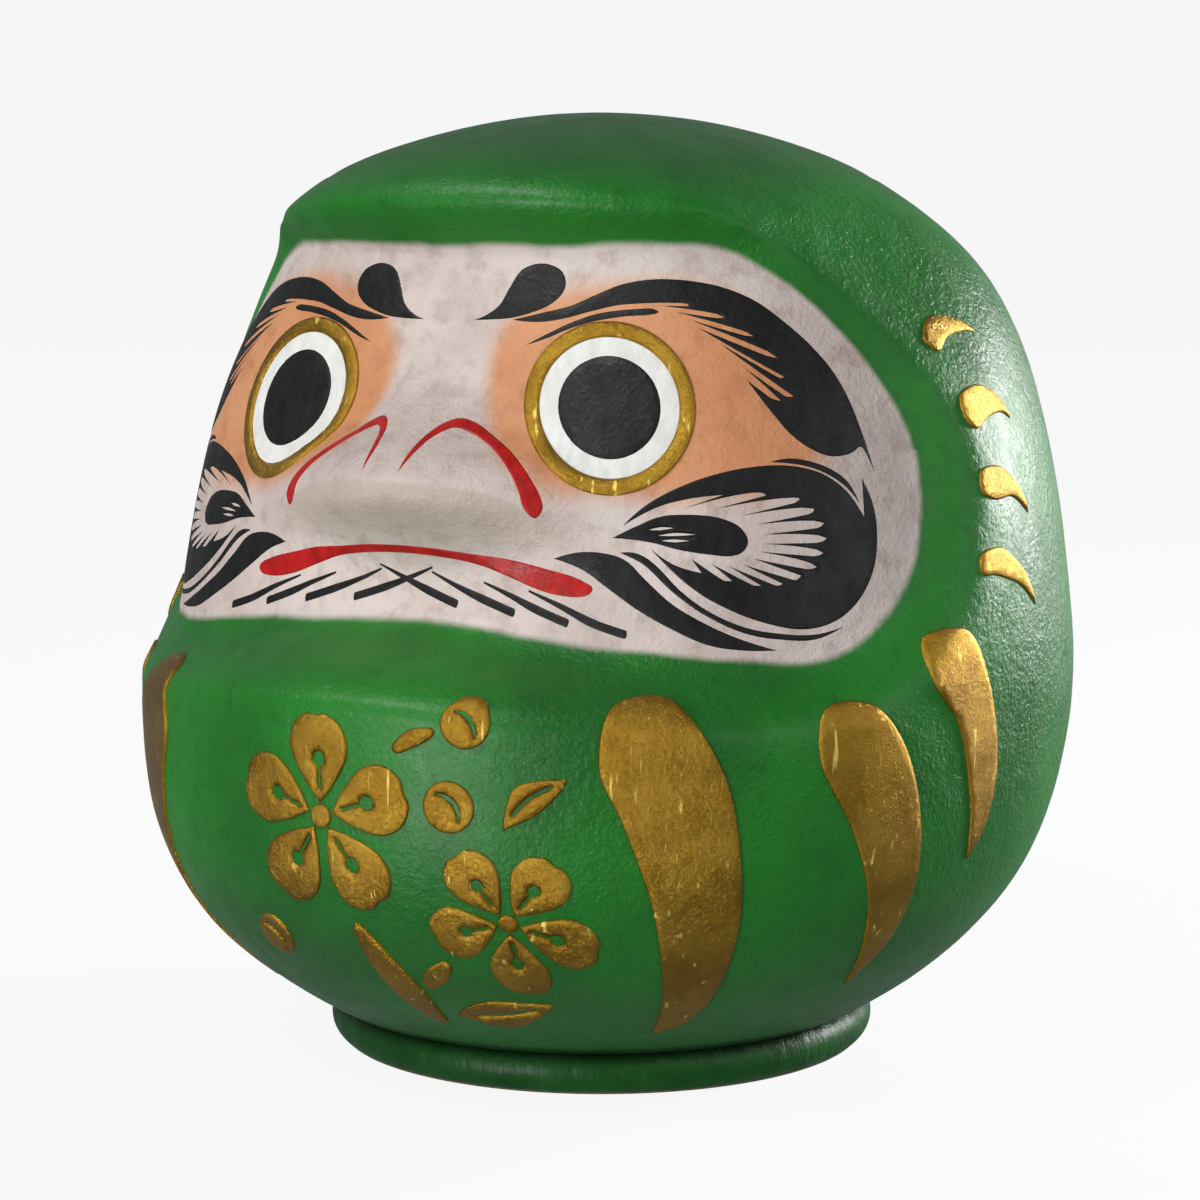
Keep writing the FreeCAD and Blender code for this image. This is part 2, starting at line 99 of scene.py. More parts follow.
BEARD = [(35.0, 88.4), (38.2, 91.3), (42.4, 93.7), (47.2, 95.6), (52.4, 96.8), (57.2, 97.0),
         (61.4, 95.9), (64.6, 93.2), (66.6, 89.4), (67.0, 95.0), (68.2, 90.4), (68.0, 85.4),
         (66.8, 81.0), (64.4, 77.2), (61.2, 74.7), (57.2, 73.8), (52.6, 74.8), (48.0, 76.9),
         (43.6, 80.0), (38.8, 85.2),
         (41.8, 83.0), (45.2, 81.9), (44.0, 83.9), (47.8, 80.9), (48.9, 80.8), (46.5, 83.2),
         (51.4, 80.2), (52.4, 80.1), (48.6, 82.9), (54.2, 80.1), (55.1, 80.3), (50.4, 83.1),
         (56.6, 80.8), (57.5, 81.4), (51.8, 83.9), (58.3, 82.3), (58.9, 83.1), (52.6, 84.9),
         (59.4, 84.1), (59.8, 85.0), (53.2, 86.0), (60.1, 86.0), (60.3, 87.0), (53.2, 87.3),
         (60.2, 88.1), (59.9, 89.1), (52.4, 88.7), (59.3, 90.1), (58.6, 91.0), (50.4, 89.9),
         (57.6, 91.7), (56.2, 92.4), (47.4, 90.9), (54.0, 92.8), (51.0, 93.0), (43.2, 90.9),
         (48.6, 92.9), (44.0, 92.3), (39.6, 91.0)]
BEARD_DROP = [(33.6, 86.7), (36.9, 88.4), (40.2, 89.8), (43.8, 90.1), (47.4, 89.8), (50.0, 88.7),
              (51.2, 87.0), (50.9, 85.3), (49.2, 84.3), (46.2, 84.5), (42.6, 85.1), (38.4, 86.2)]
BEARD_SLITS = [[(38.6, 87.9), (40.2, 88.3), (41.9, 88.2), (40.2, 87.9)],
               [(39.8, 87.1), (42.2, 87.5), (44.8, 87.3), (42.2, 87.1)],
               [(40.2, 86.4), (42.0, 86.6), (43.9, 86.4), (42.0, 86.2)]]
WISP = [(55.0, 97.5), (57.6, 98.0), (60.4, 97.5), (63.0, 96.3), (65.0, 94.4), (66.2, 91.4),
        (64.6, 93.8), (62.6, 95.5), (60.2, 96.7), (57.6, 97.3)]
WHISKER_SWEEP = [(25.2, 83.5), (28.6, 84.5), (32.2, 84.5), (35.4, 83.5), (38.2, 80.6), (41.4, 77.4),
                 (45.4, 74.7), (49.4, 72.6), (53.8, 70.9), (49.6, 71.0), (45.4, 71.8), (41.0, 74.0),
                 (36.8, 76.6), (33.2, 79.3), (29.4, 82.0)]
WHISKER_LINE = [(34.6, 84.6), (37.0, 84.5), (39.4, 82.9), (42.4, 79.4), (45.8, 76.5), (50.2, 74.2),
                (54.8, 73.2), (58.6, 73.0), (62.4, 73.9), (58.6, 72.3), (54.6, 72.4), (50.0, 73.4),
                (45.4, 75.9), (41.6, 79.0), (38.0, 82.8)]
NOSTRIL = [(3.0, 95.6), (3.3, 99.2), (4.8, 101.9), (7.4, 103.2), (10.4, 102.7), (14.0, 100.9),
           (17.6, 98.8), (20.6, 96.2), (22.8, 93.4), (23.7, 91.0), (22.6, 89.4), (21.0, 90.8),
           (20.0, 93.6), (17.8, 96.6), (14.6, 99.2), (11.0, 101.0), (7.8, 101.9), (5.6, 101.0),
           (4.2, 99.0)]
MOUTH = [(0.0, 84.6), (6.0, 84.4), (12.0, 83.8), (18.0, 83.2), (23.4, 82.1), (28.0, 81.0),
         (30.8, 79.6), (29.8, 78.3), (26.4, 78.2), (22.6, 79.0), (18.4, 80.5), (13.0, 82.2),
         (6.6, 83.1), (0.0, 83.4)]
WHISKERS = [[(-5.0, 81.4), (-0.7, 79.7), (4.3, 77.9), (9.8, 76.2)],
            [(4.8, 80.7), (8.9, 79.0), (13.9, 77.2), (19.4, 75.4)],
            [(14.0, 79.6), (18.5, 77.9), (22.7, 76.1), (27.5, 74.3)],
            [(21.4, 78.7), (26.3, 76.7), (30.9, 74.5), (35.4, 73.0)]]
WHISKER_HALF_W = 0.62

# ---- airbrushed peach, and painted shade under the nose ------------------------------------------
PEACH = [(22.0, 94.5), (15.5, 99.0), (12.5, 104.0), (11.0, 111.0), (14.0, 117.0), (20.0, 121.0),
         (34.0, 123.5), (48.0, 122.5), (58.0, 117.0), (63.5, 109.0), (64.0, 101.0), (58.0, 95.0),
         (45.0, 92.0), (31.0, 92.5)]
NOSE_SHADE = [(-24.0, 88.6), (-18.5, 92.0), (-12.0, 93.7), (0.0, 94.6), (12.0, 93.7), (18.5, 92.0),
              (24.0, 88.6), (25.0, 84.0), (0.0, 83.0), (-25.0, 84.0)]

# ---- gold: (bearing, outline of (length along the tangent, height)), tip first -------------------
CHEST_STROKES = [
    (38.0, [(1.9, 12.4), (8.8, 17.1), (12.5, 30.0), (12.3, 43.2), (9.6, 55.0), (2.7, 64.7),
            (-6.1, 63.7), (-8.0, 55.5), (-4.3, 46.7), (0.1, 33.8), (2.4, 20.0)]),
    (64.0, [(4.8, 18.8), (9.5, 29.3), (9.5, 42.7), (5.8, 55.1), (-0.5, 63.1), (-8.1, 62.8),
            (-9.5, 55.8), (-3.7, 45.4), (1.2, 34.4), (4.0, 24.0)]),
    (78.0, [(3.6, 37.5), (7.1, 45.0), (7.1, 54.5), (3.6, 65.6), (-0.9, 72.6), (-7.9, 71.9),
            (-8.2, 65.6), (-2.4, 58.1), (1.4, 47.4)]),
]
SHOULDER_STROKES = [
    (82.0, [(11.2, 115.5), (7.2, 117.8), (2.1, 117.9), (-1.3, 114.7), (0.6, 112.9), (3.9, 114.8),
            (7.8, 115.6)]),
    (82.0, [(13.2, 102.6), (10.4, 106.2), (6.2, 107.9), (1.4, 106.8), (0.3, 103.9), (2.3, 101.5),
            (6.5, 103.1), (10.4, 103.6)]),
    (82.0, [(13.9, 88.4), (11.9, 92.1), (6.6, 95.8), (1.5, 95.6), (0.8, 92.3), (4.0, 91.0),
            (9.1, 91.1)]),
    (82.0, [(13.6, 74.5), (10.2, 80.0), (4.1, 83.9), (-1.1, 83.6), (-1.7, 80.5), (2.5, 79.9),
            (8.9, 77.9)]),
]
SPRIG_BEARING = 4.0
BLOSSOMS = {"blossom_large": (-7.0, 46.5, 8.6, 6.8, 18.0),
            "blossom_small": (21.0, 32.5, 6.6, 5.4, 50.0)}
BUDS = {"bud_high": (16.8, 61.6, 3.6), "bud_mid": (14.0, 49.5, 3.8), "bud_low": (-21.0, 26.0, 3.4)}
BRANCHES = {
    "branch_main": [(3.0, 13.5, 0.9), (1.4, 18.5, 2.6), (-1.0, 24.5, 2.3), (-3.2, 29.8, 0.9)],
    "branch_side": [(5.0, 20.8, 0.7), (7.4, 22.8, 1.5), (10.0, 25.0, 0.7)],
    "branch_high": [(6.1, 57.4, 0.7), (9.0, 59.2, 1.3), (12.0, 60.3, 0.6)],
}
LEAVES = {
    "leaf_upper": [(22.0, 47.0, 0.4), (25.2, 51.0, 2.4), (30.0, 53.6, 0.5)],
    "leaf_lower": [(7.4, 15.6, 0.4), (13.6, 16.0, 2.6), (21.6, 18.0, 0.5)],
}


# ---- small tools ---------------------------------------------------------------------------------
def smooth(t):
    """Smoothstep of a number or an array."""
    t = np.clip(t, 0.0, 1.0)
    return t * t * (3 - 2 * t)


def direction(bearing):
    """Level unit vector at a bearing in degrees."""
    angle = math.radians(bearing)
    return Vector((math.sin(angle), -math.cos(angle), 0.0))


def unroll(points):
    """(bearing, height) points as flat millimetres."""
    return [(math.radians(b) * GIRTH_R, z) for b, z in points]


def catmull(points, closed=True, corners=(), step=0.5):
    """A smooth line through flat points, with sharp corners at the listed indices."""
    count = len(points)
    line = []
    spans = count if closed else count - 1
    for i in range(spans):
        p1 = Vector(points[i])
        p2 = Vector(points[(i + 1) % count])
        p0 = Vector(points[i - 1]) if (closed or i > 0) else p1
        p3 = Vector(points[(i + 2) % count]) if (closed or i + 2 < count) else p2
        m1 = Vector((0, 0)) if i in corners else tangent(p0, p1, p2)
        m2 = Vector((0, 0)) if (i + 1) % count in corners else tangent(p1, p2, p3)
        if i in corners:
            m1 = (p2 - p1) * 1.5 - m2 * 0.5
        if (i + 1) % count in corners:
            m2 = (p2 - p1) * 1.5 - m1 * 0.5
        pieces = max(2, math.ceil((p2 - p1).length / step))
        for k in range(pieces):
            t = k / pieces
            a = 2 * t ** 3 - 3 * t ** 2 + 1
            b = t ** 3 - 2 * t ** 2 + t
            c = -2 * t ** 3 + 3 * t ** 2
            d = t ** 3 - t ** 2
            line.append(tuple(p1 * a + m1 * b + p2 * c + m2 * d))
    if not closed:
        line.append(tuple(points[-1]))
    return line


def tangent(before, here, after):
    """Tangent of a smooth line for the span after a point, kept short at uneven spans."""
    span = (after - here).length
    whole = (here - before).length + span
    if whole < 1e-9:
        return Vector((0, 0))
    return (after - before) * (span / whole)


def inside(polygon, points):
    """Which of the points lie inside a polygon."""
    x, y = points[:, 0], points[:, 1]
    result = np.zeros(len(points), bool)
    for (x0, y0), (x1, y1) in zip(polygon, np.roll(polygon, -1, axis=0)):
        if y0 == y1:
            continue
        crosses = (y0 > y) != (y1 > y)
        result ^= crosses & (x < (x1 - x0) * (y - y0) / (y1 - y0) + x0)
    return result


def distance(polygon, points):
    """Distance of each point from a polygon's edge."""
    best = np.full(len(points), 1e9)
    for a, b in zip(polygon, np.roll(polygon, -1, axis=0)):
        along = b - a
        size = float(along @ along)
        if size < 1e-12:
            continue
        t = np.clip((points - a) @ along / size, 0, 1)
        gap = points - a - t[:, None] * along
        best = np.minimum(best, np.hypot(gap[:, 0], gap[:, 1]))
    return best


def depth_inside(outline, points):
    """Distance from the outline, positive inside it."""
    polygon = np.array(outline)
    return np.where(inside(polygon, points), 1.0, -1.0) * distance(polygon, points)


def face_distance(bearings, heights):
    """Signed distance in millimetres from the edge of the white face, negative inside it."""
    across = np.abs(np.radians(bearings)) * GIRTH_R
    foot = FACE_FOOT + FACE_BOW * (1 - smooth(across / (FACE_BOW_SHARE * FACE_HALF_W)))
    middle = (FACE_TOP + foot) / 2
    half = (FACE_TOP - foot) / 2
    corner = np.where(heights > middle, CORNER_TOP, CORNER_FOOT)
    dx = across - (FACE_HALF_W - corner)
    dz = np.abs(heights - middle) - (half - corner)
    outer = np.hypot(np.maximum(dx, 0), np.maximum(dz, 0))
    return outer + np.minimum(np.maximum(dx, dz), 0) - corner


def new_object(name, vertices, faces):
    """A mesh object in the scene, from millimetres."""
    mesh = bpy.data.meshes.new(name)
    mesh.from_pydata([tuple(c * MM for c in v) for v in vertices], [], faces)
    mesh.polygons.foreach_set("use_smooth", [True] * len(mesh.polygons))
    mesh.update()
    obj = bpy.data.objects.new(name, mesh)
    bpy.context.scene.collection.objects.link(obj)
    return obj


# ---- skin ----------------------------------------------------------------------------------------
def cad_tree(*names):
    """One search tree of some CAD nodes, in millimetres."""
    vertices = []
    faces = []
    for name in names:
        obj = frame["nodes"][name]
        start = len(vertices)
        vertices += [obj.matrix_world @ v.co / MM for v in obj.data.vertices]
        faces += [[start + i for i in p.vertices] for p in obj.data.polygons]
    return BVHTree.FromPolygons(vertices, faces)


def spread(start, stop, step):
    """Even steps from start up to stop, without stop."""
    count = max(1, round((stop - start) / step))
    return [start + (stop - start) * i / count for i in range(count)]


class Skin:
    """The doll's outer surface as a fine grid, fitted onto the CAD shells."""

    FOOT_Z = 7.0
    FRONT = 92.0            # bearings up to this one get fine columns
    PLAIN_BELOW = 64.0      # nothing changes fast with bearing below and above these heights
    PLAIN_ABOVE = 130.5
    PLAIN_PASSES = 60
    FINE_FROM = 60.0        # rows are close together between this height and FINE_LIFT
    FINE_LIFT = 42.0        # degrees above level, seen from CAP_CENTRE
    TOP_LIFT = 88.5
    INNER_STRIDE = 6        # the inside has one row for this many rows outside
    LUMPS = ((21.0, 0.12), (8.0, 0.04), (3.4, 0.02))    # sizes and heights
    LUMP_SHIFT = 0.08
    FADE_ROWS = 4           # the lumps fade in over this many rows above the foot

    def __init__(self):
        tree = cad_tree("shell_front", "shell_back")
        back = spread(self.FRONT, 360 - self.FRONT, 1.8)
        self.bearings = spread(-self.FRONT, self.FRONT, 0.62) + back
        levels = spread(self.FOOT_Z, self.FINE_FROM, 1.5)
        levels += spread(self.FINE_FROM, CAP_CENTRE, 0.8)
        fans = spread(0.0, self.FINE_LIFT, 0.65) + spread(self.FINE_LIFT, self.TOP_LIFT, 1.5)
        self.rows = [(z, 0.0) for z in levels] + [(CAP_CENTRE, a) for a in fans]
        reach = np.array([[self.cast(tree, row, b) for b in self.bearings] for row in self.rows])
        reach = self.soften(reach, 3)
        levels = self.place(reach)[:, :, 2].mean(axis=1)
        plain = (levels < self.PLAIN_BELOW) | (levels > self.PLAIN_ABOVE)
        reach[plain] = self.soften(reach, self.PLAIN_PASSES, lengthwise=False)[plain]
        self.points = self.place(self.soften(reach, 2))
        self.crown = tree.ray_cast(Vector((0.01, 0.01, 300)), Vector((0, 0, -1)))[0].z
        self.roughen()
        self.normals = self.find_normals()
        self.build_tree()

    @staticmethod
    def cast(tree, row, bearing):
        """Distance of the CAD surface from a row's centre, at a bearing."""
        z, lift = row
        out = direction(bearing + 0.003)
        tilt = math.radians(lift)
        ray = out * math.cos(tilt) + Vector((0, 0, math.sin(tilt)))
        centre = Vector((0, 0, max(z, Skin.FOOT_Z + 0.03)))
        hit = tree.ray_cast(centre + ray * 200, -ray)[0]
        return (hit - centre).length

    @staticmethod
    def soften(grid, passes, lengthwise=True):
        """Evens out the facets of the CAD mesh without moving the foot."""
        for _ in range(passes):
            sides = (np.roll(grid, 1, 1) + np.roll(grid, -1, 1)) / 2
            if not lengthwise:
                grid = (grid + sides) / 2
                continue
            ends = grid.copy()
            ends[1:-1] = (grid[2:] + grid[:-2]) / 2
            grid = grid * 0.5 + sides * 0.25 + ends * 0.25
        return grid

    def place(self, reach):
        """Points of the grid, from their distances."""
        angles = np.radians(self.bearings)[None, :]
        heights = np.array([r[0] for r in self.rows])[:, None]
        lifts = np.radians([r[1] for r in self.rows])[:, None]
        flat = reach * np.cos(lifts)
        return np.stack([flat * np.sin(angles), -flat * np.cos(angles),
                         heights + reach * np.sin(lifts)], axis=2)

    def roughen(self):
        """Low, soft lumps of hand-laid paper."""
        normals = self.find_normals()
        for i, row in enumerate(self.points):
            fade = min(1.0, i / self.FADE_ROWS)
            for j, p in enumerate(row):
                spot = Vector(p)
                lump = sum(noise.noise(spot / size) * height for size, height in self.LUMPS)
                self.points[i, j] = p + normals[i, j] * (lump - self.LUMP_SHIFT) * fade

    def find_normals(self):
        """Outward unit normals of the grid."""
        across = np.roll(self.points, -1, 1) - np.roll(self.points, 1, 1)
        up = np.gradient(self.points, axis=0)
        normals = np.cross(across, up)
        return normals / np.linalg.norm(normals, axis=2, keepdims=True)

    def build_tree(self):
        """The grid as a search tree."""
        rows, columns = self.points.shape[:2]
        self.flat_points = [Vector(p) for p in self.points.reshape(-1, 3)]
        self.flat_normals = [Vector(n) for n in self.normals.reshape(-1, 3)]
        self.quads = [(i * columns + j, i * columns + (j + 1) % columns,
                       (i + 1) * columns + (j + 1) % columns, (i + 1) * columns + j)
                      for i in range(rows - 1) for j in range(columns)]
        self.tree = BVHTree.FromPolygons(self.flat_points, self.quads)

    def at(self, bearing, z):
        """Point and soft normal of the skin at a bearing and height."""
        out = direction(bearing)
        hit, _, index, _ = self.tree.ray_cast(Vector((0, 0, z)) + out * 200, -out)
        normal = Vector((0, 0, 0))
        for corner in self.quads[index]:
            gap = (self.flat_points[corner] - hit).length
            normal += self.flat_normals[corner] / (gap + 0.1)
        return hit, normal.normalized()

    def build(self):
        """Closed mesh of the papier-mache body: outside, inside and the rim at the foot."""
        rows, columns = self.points.shape[:2]
        vertices = list(self.flat_points)
        crown = len(vertices)
        vertices.append(Vector((0, 0, self.crown - 0.08)))
        faces = list(self.quads)
        top = (rows - 1) * columns
        faces += [(top + j, top + (j + 1) % columns, crown) for j in range(columns)]
        inner_rows = list(range(0, rows - self.INNER_STRIDE, self.INNER_STRIDE))
        starts = []
        for i in inner_rows:
            starts.append(len(vertices))
            for j in range(columns):
                spot = self.flat_points[i * columns + j]
                shift = self.flat_normals[i * columns + j] * WALL
                if i == 0:
                    shift = Vector((spot.x, spot.y, 0)).normalized() * WALL
                vertices.append(spot - shift)
        for low, high in zip(starts, starts[1:]):
            faces += [(low + (j + 1) % columns, low + j, high + j, high + (j + 1) % columns)
                      for j in range(columns)]
        roof = len(vertices)
        vertices.append(Vector((0, 0, self.crown - WALL)))
        last = starts[-1]
        faces += [(last + (j + 1) % columns, last + j, roof) for j in range(columns)]
        first = starts[0]
        faces += [((j + 1) % columns, j, first + j, first + (j + 1) % columns)
                  for j in range(columns)]
        body = new_object("painted_body", vertices, faces)
        self.paint_fields(body)
        return body

    def paint_fields(self, body):
        """Where the face, the peach airbrush and the painted shade under the nose lie, for the material.
        """
        count = len(body.data.vertices)
        spots = np.empty(count * 3)
        body.data.vertices.foreach_get("co", spots)
        spots = spots.reshape(-1, 3) / MM
        bearings = np.degrees(np.arctan2(spots[:, 0], -spots[:, 1]))
        edge = face_distance(bearings, spots[:, 2])
        flat = np.stack([np.radians(np.abs(bearings)) * GIRTH_R, spots[:, 2]], axis=1)
        signed = np.stack([np.radians(bearings) * GIRTH_R, spots[:, 2]], axis=1)
        face = edge < 5.0
        peach = np.full(count, -20.0)
        peach[face] = depth_inside(catmull(unroll(PEACH), step=4.0), flat[face])
        shade = np.full(count, -20.0)
        shade[face] = depth_inside(catmull(unroll(NOSE_SHADE), step=3.0), signed[face])
        for name, values in (("face_edge", edge), ("peach_depth", peach), ("shade_depth", shade)):
            layer = body.data.attributes.new(name, "FLOAT", "POINT")
            layer.data.foreach_set("value", values)


# ---- paint and gold on the skin ------------------------------------------------------------------
def grid_points(outline, step, margin):
    """Points of a triangular grid inside an outline, clear of its edge."""
    polygon = np.array(outline)
    low, high = polygon.min(axis=0), polygon.max(axis=0)
    rows = np.arange(low[1], high[1], step * ROW_PITCH)
    spots = [(x + (k % 2) * step / 2, z)
             for k, z in enumerate(rows) for x in np.arange(low[0], high[0], step)]
    if not spots:
        return []
    spots = np.array(spots)
    keep = inside(polygon, spots)
    spots = spots[keep]
    if len(spots) == 0:
        return []
    spots = spots[distance(polygon, spots) > margin]
    return [tuple(s) for s in spots]


def inset(outline, gap):
    """Points a fixed distance inside an outline, left out where the outline is too narrow."""
    polygon = np.array(outline)
    before = np.roll(polygon, 1, axis=0)
    after = np.roll(polygon, -1, axis=0)
    along = after - before
    along /= np.maximum(np.linalg.norm(along, axis=1, keepdims=True), 1e-9)
    turn = np.stack([-along[:, 1], along[:, 0]], axis=1)
    area = np.sum(polygon[:, 0] * after[:, 1] - after[:, 0] * polygon[:, 1])
    moved = polygon + turn * gap * (1 if area > 0 else -1)
    keep = inside(polygon, moved) & (distance(polygon, moved) > gap * 0.8)
    return [tuple(p) for p in moved[keep]]


def fill(outlines, rounding, step):
    """Flat triangles inside the first outline and outside the others, with their points."""
    vertices = []
    edges = []
    for outline in outlines:
        start = len(vertices)
        vertices += outline
        count = len(outline)
        edges += [(start + i, start + (i + 1) % count) for i in range(count)]
    for gap in rounding:
        vertices += inset(outlines[0], gap)
    vertices += grid_points(outlines[0], step, max(rounding) + 0.3)
    spots, _, triangles, _, _, _ = delaunay_2d_cdt([Vector(v) for v in vertices], edges, [], 1, 1e-5)
    flat = np.array([tuple(s) for s in spots])
    centres = np.array([flat[list(t)].mean(axis=0) for t in triangles])
    keep = inside(np.array(outlines[0]), centres)
    for hole in outlines[1:]:
        keep &= ~inside(np.array(hole), centres)
    triangles = [tuple(t) for t, k in zip(triangles, keep) if k]
    used = sorted({i for t in triangles for i in t})
    number = {old: new for new, old in enumerate(used)}
    return flat[used], [tuple(number[i] for i in t) for t in triangles]


def relief(name, shapes, height, rounding, mapper, step=1.2, wobble=0.0):
    """Closed raised layers on the skin as one piece; a shape is an outline and its holes."""
    vertices = []
    faces = []
    for outlines in shapes:
        flat, triangles = fill(outlines, rounding, step)
        edge_gap = np.min([distance(np.array(o), flat) for o in outlines], axis=0)
        rise = np.sin(np.clip(edge_gap / (rounding[-1] * EDGE_REACH), 0, 1) * math.pi / 2)
        top = []
        low = []
        for (u, z), lift in zip(flat, rise):
            hit, normal = mapper(u, z)
            uneven = wobble * noise.noise(hit / WOBBLE_SIZE) * lift
            top.append(hit + normal * (height * (EDGE_SHARE + (1 - EDGE_SHARE) * lift) + uneven))
            low.append(hit - normal * SINK)
        start = len(vertices)
        vertices += top + low
        faces += [tuple(start + i for i in face) for face in closed_layer(top, low, triangles)]
    return new_object(name, vertices, faces)


def closed_layer(top, low, triangles):
    """Faces of a solid between two like sheets of triangles."""
    count = len(top)
    a, b, c = (top[i] for i in triangles[0])
    if (b - a).cross(c - a).dot(top[triangles[0][0]] - low[triangles[0][0]]) < 0:
        triangles = [t[::-1] for t in triangles]
    sides = {}
    for t in triangles:
        for i in range(3):
            edge = (t[i], t[(i + 1) % 3])
            if edge[::-1] in sides:
                del sides[edge[::-1]]
            else:
                sides[edge] = True
    faces = list(triangles) + [tuple(i + count for i in t[::-1]) for t in triangles]
    faces += [(i + count, j + count, j, i) for i, j in sides]
    return faces


def girth_mapper(skin):
    """Maps unrolled (length, height) to the skin."""
    return lambda u, z: skin.at(math.degrees(u / GIRTH_R), z)


def tangent_mapper(skin, bearing):
    """Maps points of the upright plane that faces a bearing straight onto the skin."""
    out = direction(bearing)
    side = Vector((-out.y, out.x, 0))

    def place(u, z):
        start = side * u + out * 200 + Vector((0, 0, z))
        hit = skin.tree.ray_cast(start, -out)[0]
        return skin.at(math.degrees(math.atan2(hit.x, -hit.y)), z)
    return place


def flipped(points):
    """Mirror image of an outline."""
    return [(-u, z) for u, z in points]


def circle(x, z, radius, step=0.5):
    """Points of a circle."""
    count = max(12, round(2 * math.pi * radius / step))
    return [(x + radius * math.cos(2 * math.pi * i / count),
             z + radius * math.sin(2 * math.pi * i / count)) for i in range(count)]


TIP_SHARE = 0.25            # width at the tip, as a share of the whole
WIDENING = 1.6              # the stroke is at its full width after 1 / WIDENING of its length
BLUNT_FROM = 0.93           # the blunt end starts here and takes up the last BLUNT_SPAN
BLUNT_SPAN = 0.07
BLUNT_LOSS = 0.75           # share of the width that the blunt end loses


def tapered(centre_line, half_w):
    """Outline of a stroke that starts at a thin tip and ends blunt."""
    line = catmull(centre_line, closed=False, step=0.6)
    left, right = [], []
    for i, spot in enumerate(line):
        a = Vector(line[max(i - 1, 0)])
        b = Vector(line[min(i + 1, len(line) - 1)])
        along = (b - a).normalized()
        t = i / (len(line) - 1)
        half = half_w * (TIP_SHARE + (1 - TIP_SHARE) * min(1, t * WIDENING))
        blunt = max(0.0, (t - BLUNT_FROM) / BLUNT_SPAN)
        half *= math.sqrt(max(0.0, 1 - blunt ** 2)) * BLUNT_LOSS + (1 - BLUNT_LOSS)
        side = Vector((-along.y, along.x)) * half
        left.append(tuple(Vector(spot) + side))
        right.append(tuple(Vector(spot) - side))
    return left + right[::-1]


def ribbon_outline(centre_line):
    """Outline of a stroke given by centre points and half widths."""
    left, right = [], []
    last = len(centre_line) - 1
    for i, (x, z, half) in enumerate(centre_line):
        before = centre_line[max(i - 1, 0)]
        after = centre_line[min(i + 1, last)]
        along = Vector((after[0] - before[0], after[1] - before[1])).normalized()
        left.append((x - along.y * half, z + along.x * half))
        right.append((x + along.y * half, z - along.x * half))
    return left + right[::-1]


def placed(points, x, z, turn, scale=1.0):
    """Points turned by an angle in degrees about the origin, then moved to a place."""
    c = math.cos(math.radians(turn)) * scale
    s = math.sin(math.radians(turn)) * scale
    return [(x + u * c - v * s, z + u * s + v * c) for u, v in points]


PETAL = [(1.9, 0.0), (5.0, 2.7), (8.8, 4.75), (12.2, 4.3), (14.1, 2.0), (14.0, 0.0),
         (14.1, -2.0), (12.2, -4.3), (8.8, -4.75), (5.0, -2.7)]
STAMEN = [(3.9, 0.22), (6.8, 0.22), (7.2, 0.75), (8.0, 0.95), (8.8, 0.6), (9.0, 0.0),
          (8.8, -0.6), (8.0, -0.95), (7.2, -0.75), (6.8, -0.22), (3.9, -0.22)]
PETAL_REACH = 14.4
PETALS = 5
BOSS_R = 1.7
BUD_TURN = 40.0
VEIN_HALF_W = 0.24


def blossom_shapes(x, z, reach, petal, turn):
    """Five petals, each with a stamen cut out of it, round a small boss."""
    scale = (reach + petal) / PETAL_REACH
    shapes = [[circle(x, z, BOSS_R * scale, 0.3)]]
    for i in range(PETALS):
        angle = turn + 360 / PETALS * i
        shapes.append([placed(catmull(PETAL, corners=(0,)), x, z, angle, scale),
                       placed(catmull(STAMEN, step=0.25), x, z, angle, scale)])
    return shapes


def bud_shapes(x, z, radius):
    """A round bud with the line of its folded petals."""
    fold = [(-0.1, 0.72), (0.22, 0.42), (0.34, 0.0), (0.22, -0.42), (-0.1, -0.72), (0.08, -0.4),
            (0.17, 0.0), (0.08, 0.4)]
    fold = catmull([(u * radius, v * radius) for u, v in fold], corners=(0, 4), step=0.25)
    return [[circle(x, z, radius), placed(fold, x, z, BUD_TURN)]]


def leaf_shapes(centre_line):
    """A leaf with its middle vein cut out."""
    vein = [(x, z) for x, z, _ in centre_line]
    line = catmull(vein, closed=False, step=0.4)
    line = line[len(line) // 5:-len(line) // 5]
    rib = ribbon_outline([(x, z, VEIN_HALF_W) for x, z in line])
    return [[catmull(ribbon_outline(centre_line)), rib]]


